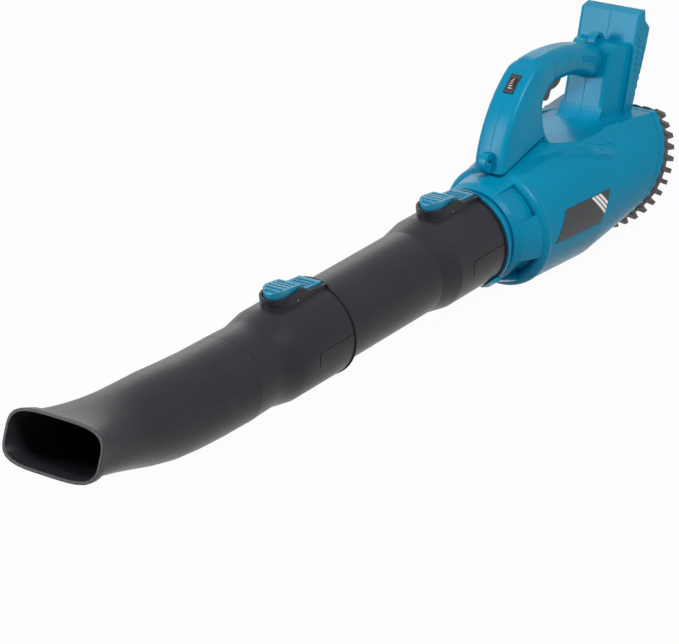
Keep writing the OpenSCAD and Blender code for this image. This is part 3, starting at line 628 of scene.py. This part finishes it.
class AddLabelStripes(bpy.types.Operator):
    """Lays the slanted white stripes on the label"""
    bl_idname = "blower.add_label_stripes"
    bl_label = "Label stripes"

    def execute(self, context):
        trim = context.scene.blower_trim
        # Screen-printed ink: even white with a low gloss
        ink = moulded("White screen-print ink", "#FBFBF9", rough=0.45, grain=0.6 * MM,
                      relief=0.01 * MM, edge=0.05 * MM, spread=0.03)
        # The label's top and rear edges: a point on each, and the way out over it
        edges = ((at(126, -79, 15.6), (-0.014, 0, 1)), (at(150.0, -79, 5.5), (0.903, 0, -0.43)))
        margin = 0.7 * MM
        # The stripes start at the top edge, longer than the label, and run down to the rear
        first = at(125.5, -79.0, 15.5)
        slant = math.atan2(20.5, 16.1)
        length = 60 * MM
        for i in range(trim.stripes):
            deselect()
            bpy.ops.mesh.primitive_plane_add(
                size=1.0, location=first + Vector((i * trim.stripe_pitch, 0, 0)),
                rotation=(math.pi / 2, slant, 0))
            stripe = context.object
            stripe.scale = (length, trim.stripe_width, 1)
            bpy.ops.object.transform_apply(location=True, rotation=True, scale=True)
            bpy.ops.object.mode_set(mode="EDIT")
            for point, normal in edges:
                bpy.ops.mesh.select_all(action="SELECT")
                bpy.ops.mesh.bisect(plane_co=point - Vector(normal).normalized() * margin,
                                    plane_no=normal, clear_outer=True)
            bpy.ops.mesh.select_all(action="SELECT")
            bpy.ops.mesh.subdivide(number_cuts=5)
            bpy.ops.object.mode_set(mode="OBJECT")
            finish_modifier(stripe, "SHRINKWRAP", target=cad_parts["label_plate"],
                            wrap_method="PROJECT", use_project_x=False, use_project_y=True,
                            use_project_z=False, use_positive_direction=True,
                            use_negative_direction=True, offset=0.06 * MM)
            finish_modifier(stripe, "SOLIDIFY", thickness=trim.stripe_thick, offset=1.0)
            settle(stripe, f"label_stripe_{i + 1}", ink, "main")
        return {"FINISHED"}


class AddSleeveRims(bpy.types.Operator):
    """Runs a thin lip round the rear edge of each sleeve"""
    bl_idname = "blower.add_sleeve_rims"
    bl_label = "Sleeve rims"

    def execute(self, context):
        trim = context.scene.blower_trim
        # The same polypropylene as the tubes, painted darker and duller as painted shade, so that
        # it ends the sleeve with a thin dark line
        rim = moulded("Black polypropylene, rubbed lip", "#101113", rough=0.5, grain=1.0 * MM,
                      relief=0.02 * MM, edge=0.2 * MM, spread=0.1, specular=0.2)
        # The sleeve's radius and a hair more, and how far the lip stays inside its rear edge
        inner, set_back = 50.05 * MM, 0.1
        for body, start in SLEEVES:
            deselect()
            bpy.ops.mesh.primitive_cylinder_add(
                vertices=128, radius=inner, depth=trim.rim_width, end_fill_type="NOTHING",
                location=at(start - set_back, 0, 0) - Vector((trim.rim_width / 2, 0, 0)),
                rotation=(0, math.pi / 2, 0))
            hoop = context.object
            finish_modifier(hoop, "SOLIDIFY", thickness=trim.rim_rise, offset=1.0)
            finish_modifier(hoop, "BEVEL", width=0.3 * MM, segments=3)
            bpy.ops.object.shade_smooth_by_angle(angle=math.radians(50))
            # The lip wears the darker material: painted shade for the line at the sleeve's end
            settle(hoop, body + "_sleeve_rim", rim, body)
        return {"FINISHED"}


class AddGripRibs(bpy.types.Operator):
    """Sets a row of short ribs on each side of the grip, where the hand holds"""
    bl_idname = "blower.add_grip_ribs"
    bl_label = "Grip ribs"

    def execute(self, context):
        trim = context.scene.blower_trim
        teal = bpy.data.materials[TEAL]
        lean = Matrix.Rotation(math.radians(24), 4, "Y")
        for name, side in (("grip_ribs_left", -1), ("grip_ribs_right", 1)):
            rib = block((1.5 * MM, 1.6 * MM, trim.rib_height))
            finish_modifier(rib, "BEVEL", width=0.62 * MM, segments=3)
            places = []
            for i in range(trim.grip_ribs):
                # The row follows the grip, which curves down to the rear
                share = i / max(trim.grip_ribs - 1, 1)
                x = 199.5 + 31.5 * share
                z = 138.2 - 10.4 * share - 2.6 * share * share
                places.append(Matrix.Translation(at(x, side * 16.9, z)) @ lean)
            settle(join(repeat(rib, places)), name, teal, "main")
        return {"FINISHED"}


class AddPlateTrim(bpy.types.Operator):
    """Runs a bead down the front edges of the battery plate, and sets pads on its sides"""
    bl_idname = "blower.add_plate_trim"
    bl_label = "Plate trim"

    def execute(self, context):
        # The plate's own frame: x through its thickness, z up its length
        plate = (Matrix.Translation(at(241.7, 0, 60))
                 @ Matrix.Rotation(math.radians(20), 4, "Y"))
        deselect()
        bpy.ops.mesh.primitive_cylinder_add(vertices=20, radius=1.5 * MM, depth=108 * MM)
        bead = context.object
        finish_modifier(bead, "BEVEL", width=0.6 * MM, segments=3, limit_method="ANGLE",
                        angle_limit=math.radians(60))
        bpy.ops.object.shade_smooth_by_angle(angle=math.radians(40))
        pad = block((7.0 * MM, 2.4 * MM, 3.4 * MM))
        finish_modifier(pad, "BEVEL", width=0.6 * MM, segments=3)

        def on_plate(x, y, z):
            return plate @ Matrix.Translation((x * MM, y * MM, z * MM))

        beads = repeat(bead, [on_plate(0.5, side * 36.4, 57) for side in (-1, 1)])
        # Six pads on each side, from 86 mm up the plate, one every 6.5 mm
        pads = repeat(pad, [on_plate(11, side * 36.7, 86 - 6.5 * i)
                            for side in (-1, 1) for i in range(6)])
        settle(join(beads + pads), "plate_trim", bpy.data.materials[TEAL], "main")
        return {"FINISHED"}


class AddDialMarks(bpy.types.Operator):
    """Prints a rising row of bars on the teeth of the speed dial"""
    bl_idname = "blower.add_dial_marks"
    bl_label = "Dial marks"

    def execute(self, context):
        # Pad-printed ink on the teeth: chalky white, worn a little by the thumb
        ink = moulded("White pad-print ink", "#E9E6E2", rough=0.5, grain=0.5 * MM,
                      relief=0.01 * MM, edge=0.05 * MM, spread=0.06)
        # The dial's middle, and the radius of its teeth with the ink on them
        middle, tooth_r = at(98.3, 0, 133.7), 13.02 * MM
        row = []
        for i in range(7):
            # One tooth every 12 degrees, and each bar wider than the one before
            angle = math.radians(96 + 12 * i)
            bar = block((0.16 * MM, (1.6 + 0.6 * i) * MM, 0.85 * MM),
                        middle + Vector((math.cos(angle), 0, math.sin(angle))) * tooth_r,
                        (0, -angle, 0))
            finish_modifier(bar, "BEVEL", width=0.05 * MM, segments=2)
            row.append(bar)
        settle(join(row), "dial_marks", ink, "speed_dial")
        return {"FINISHED"}


class AddScrews(bpy.types.Operator):
    """Puts pan-head screws with six-lobe recesses in the housings and the grille"""
    bl_idname = "blower.add_screws"
    bl_label = "Screws"

    def execute(self, context):
        plated = bpy.data.materials[PLATED_STEEL]
        # The screws of the two housings go in from the right side, at these x and z
        across = Matrix.Rotation(math.radians(-90), 4, "X")
        barrel = [Matrix.Translation(at(x, 8, z)) @ across
                  for x, z in ((66, -62), (150, -66.5), (66, 60.5), (103, 63.5))]
        handle = [Matrix.Translation(at(x, 6, z)) @ across
                  for x, z in ((66, 84), (86, 100), (176, 147), (212, 130))]
        # Those of the grille go in from the rear, between ribs that stand 9 degrees apart
        intake = (Matrix.Translation(at(243, 0, 10))
                  @ Matrix.Rotation(math.radians(121), 4, "Y"))
        grille = [intake @ Matrix.Rotation(math.radians(step * 9 + 4.5), 4, "Z")
                  @ Matrix.Translation((78.5 * MM, 0, 9.0 * MM)) for step in (6, 11, 28, 33)]
        # Node, places, radius of the head, radius of the shank, length and height of the head
        for node, places, head, shank, length, rise in (
                ("barrel_screws", barrel, 3.0, 1.3, 18.0, 2.0),
                ("handle_screws", handle, 2.6, 1.1, 14.0, 2.0),
                ("grille_screws", grille, 2.4, 1.15, 19.0, 1.6)):
            row = repeat(self.screw(context, head * MM, shank * MM, length * MM, rise * MM),
                         places)
            whole = settle(join(row), node.replace("screws", "torx_screws"), plated, "main")
            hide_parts(node)
        return {"FINISHED"}

    def screw(self, context, head, shank, length, rise):
        """One screw with its head's seat at the origin and its point down."""
        deselect()
        bpy.ops.mesh.primitive_cylinder_add(vertices=36, radius=head, depth=rise,
                                            location=(0, 0, rise / 2))
        piece = context.object
        bpy.ops.object.transform_apply(location=True, rotation=False, scale=False)
        bpy.ops.object.mode_set(mode="EDIT")
        # The shank, and a point that is two shank radii long
        point = 2 * shank
        pick(piece, lambda middle, normal: normal.z < -0.9)
        bpy.ops.mesh.inset(thickness=head - shank)
        bpy.ops.mesh.extrude_region_move(
            TRANSFORM_OT_translate={"value": (0, 0, point - length)})
        bpy.ops.mesh.extrude_region_move(TRANSFORM_OT_translate={"value": (0, 0, -point)})
        bpy.ops.transform.resize(value=(0.3, 0.3, 1), center_override=(0, 0, -length))
        # The recess: round at first, then six of its flanks drawn in between the lobes
        pick(piece, lambda middle, normal: normal.z > 0.9 and middle.z > 0)
        bpy.ops.mesh.inset(thickness=head * 0.12)
        bpy.ops.mesh.inset(thickness=head * (0.88 - context.scene.blower_trim.recess))
        bpy.ops.mesh.extrude_region_move(
            TRANSFORM_OT_translate={"value": (0, 0, -0.6 * rise)})

        def on_flank(place):
            spread = math.hypot(place.x, place.y)
            turn = math.degrees(math.atan2(place.y, place.x)) % 60
            return place.z > 0 and shank * 0.2 < spread < head * 0.6 and 15 < turn < 45

        pick_corners(piece, on_flank)
        bpy.ops.transform.resize(value=(0.76, 0.76, 1), center_override=(0, 0, 0))
        bpy.ops.object.mode_set(mode="OBJECT")
        finish_modifier(piece, "BEVEL", width=head * 0.06, segments=2, limit_method="ANGLE",
                        angle_limit=math.radians(60))
        bpy.ops.object.shade_smooth_by_angle(angle=math.radians(40))
        return piece


class SetStage(bpy.types.Operator):
    """Sets the floor, the lights and the camera"""
    bl_idname = "blower.set_stage"
    bl_label = "Stage"

    def execute(self, context):
        stage = context.scene.blower_stage
        self.floor(context)
        self.lights(context, stage)
        self.camera(context, stage)
        context.scene.view_settings.view_transform = "Standard"
        return {"FINISHED"}

    def shown(self, tree):
        """One for the rays that see the background: camera, off gloss and through glass."""
        ray = add(tree, "ShaderNodeLightPath")
        pair = add(tree, "ShaderNodeMath",
                   [(0, ray.outputs["Is Camera Ray"]), (1, ray.outputs["Is Glossy Ray"])],
                   operation="MAXIMUM")
        return add(tree, "ShaderNodeMath",
                   [(0, pair.outputs[0]), (1, ray.outputs["Is Transmission Ray"])],
                   operation="MAXIMUM").outputs[0]

    def floor(self, context):
        """A floor that those rays see almost white, with a little of its shadowed paint."""
        side, drop, white_share = 14.0, 0.5 * MM, 0.97
        deselect()
        bpy.ops.mesh.primitive_plane_add(size=side, location=(0, 0, -drop))
        ground = context.object
        ground.name = "floor"
        material, tree = fresh("Pale studio floor")
        paint = add(tree, "ShaderNodeBsdfDiffuse", Color=colour("#C4C4C4"))
        glow = add(tree, "ShaderNodeEmission", Color=(1, 1, 1, 1), Strength=1.0)
        seen = add(tree, "ShaderNodeMath", [(0, self.shown(tree))], operation="MULTIPLY")
        seen.inputs[1].default_value = white_share
        close(tree, add(tree, "ShaderNodeMixShader", [
            (0, seen.outputs[0]), (1, paint.outputs[0]), (2, glow.outputs[0])]))
        ground.data.materials.append(material)

    def lights(self, context, stage):
        """Weak light all round with a white background, and three large soft lamps."""
        world = bpy.data.worlds.new("Soft studio")
        context.scene.world = world
        world.use_nodes = True
        tree = world.node_tree
        tree.nodes.clear()
        around = add(tree, "ShaderNodeBackground", Color=(1, 1, 1, 1),
                     Strength=stage.world_light)
        white = add(tree, "ShaderNodeBackground", Color=(1, 1, 1, 1), Strength=1.0)
        both = add(tree, "ShaderNodeMixShader", [
            (0, self.shown(tree)), (1, around.outputs[0]), (2, white.outputs[0])])
        add(tree, "ShaderNodeOutputWorld", [("Surface", both.outputs[0])])
        # Name, way from the blower to the lamp, distance, width, height and power
        middle = Vector((0.05, 0, 0.1))
        for name, way, reach, width, height, power in (
                ("Key", (-0.14, -0.6, 0.79), 2.4, 0.9, 0.9, stage.key_power),
                ("Back", (0.68, 0.66, 0.32), 2.2, 1.1, 0.9, stage.back_power),
                ("Front", (-0.73, 0.55, 0.41), 2.3, 0.6, 1.4, stage.front_power)):
            data = bpy.data.lights.new(name, "AREA")
            data.energy = power
            data.shape = "RECTANGLE"
            data.size = width
            data.size_y = height
            lamp = bpy.data.objects.new(name, data)
            context.scene.collection.objects.link(lamp)
            lamp.location = Vector(way).normalized() * reach + middle
            lamp.rotation_euler = Vector(way).to_track_quat("Z", "Y").to_euler()

    def camera(self, context, stage):
        """The camera, with its own right, up and back directions."""
        data = bpy.data.cameras.new("Camera")
        data.lens = stage.lens
        data.sensor_width = 36.0
        data.clip_end = 50.0
        eye = bpy.data.objects.new("Camera", data)
        context.scene.collection.objects.link(eye)
        right = Vector((0.61369, -0.78685, -0.06511))
        up = Vector((0.36263, 0.20765, 0.9085))
        back = Vector((-0.70134, -0.58115, 0.41278))
        turn = Matrix((right, up, back)).transposed().to_4x4()
        eye.matrix_world = Matrix.Translation(Vector(stage.camera) + at(0, 0, 0)) @ turn
        context.scene.camera = eye


class BlowerPanel(bpy.types.Panel):
    """Lists the steps that finish the blower"""
    bl_idname = "VIEW3D_PT_blower"
    bl_label = "Leaf Blower"
    bl_space_type = "VIEW_3D"
    bl_region_type = "UI"
    bl_category = "Leaf Blower"

    def draw(self, context):
        for key in GROUPS:
            group = getattr(context.scene, key)
            box = self.layout.box()
            for name in group.__annotations__:
                box.prop(group, name)
        for step in STEPS:
            self.layout.operator(step.bl_idname)


GROUPS = {"blower_finish": BlowerFinish, "blower_trim": BlowerTrim, "blower_stage": BlowerStage}
STEPS = (FinishHousings, FinishTubes, FinishIntake, FinishControls, FinishMetals, SmoothSkins,
         GrooveLatches, WindSprings, AddPinEnds, AddLabelStripes, AddSleeveRims, AddGripRibs,
         AddPlateTrim, AddDialMarks, AddScrews, SetStage)
CLASSES = (*GROUPS.values(), *STEPS, BlowerPanel)


def register():
    for item in CLASSES:
        bpy.utils.register_class(item)
    for key, group in GROUPS.items():
        setattr(bpy.types.Scene, key, PointerProperty(type=group))


def unregister():
    for key in GROUPS:
        delattr(bpy.types.Scene, key)
    for item in reversed(CLASSES):
        bpy.utils.unregister_class(item)


def main():
    register()
    for step in STEPS:
        family, name = step.bl_idname.split(".")
        getattr(getattr(bpy.ops, family), name)()
    bpy.context.view_layer.update()


if __name__ == "__main__":
    main()
